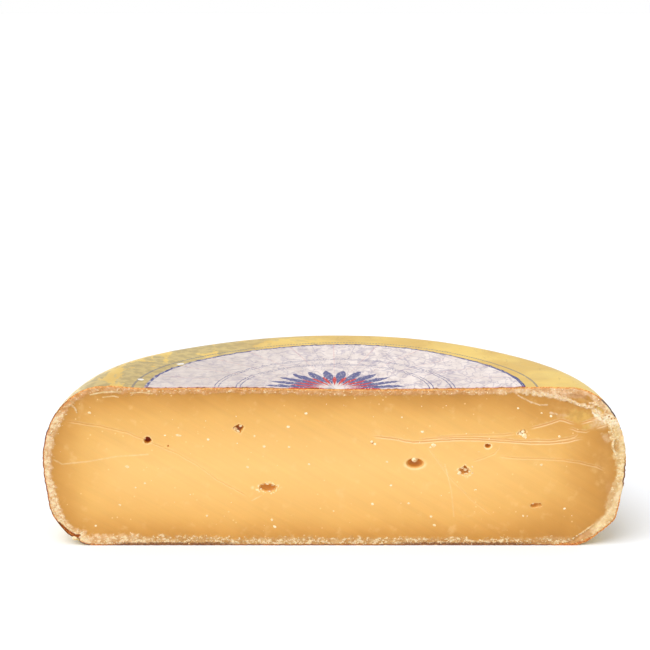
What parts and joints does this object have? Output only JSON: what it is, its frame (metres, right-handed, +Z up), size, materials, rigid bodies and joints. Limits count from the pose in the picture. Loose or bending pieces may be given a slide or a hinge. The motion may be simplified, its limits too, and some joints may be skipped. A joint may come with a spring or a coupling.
{
  "type": "aged gouda half wheel",
  "caption": "Half wheel of aged hard cheese standing on its flat base, with a rounded yellow rind, a cut face with small eyes and cracks, and a round paper label on top.",
  "frame": {"origin": "on the ground, under the middle of the bounding box; the wheel's own axis stands at y = -0.095", "axes": "+Z up, the cut face towards -Y, +X along the cut to the right as seen from the front"},
  "size_m": [0.3808, 0.1898, 0.1087],
  "materials": {
    "cheese": "satin, waxy cut face and coated rind",
    "label": "printed paper, slightly crinkled"
  },
  "bodies": {
    "root": {"cheese": "cheese", "label": "label"}
  },
  "joints": []
}
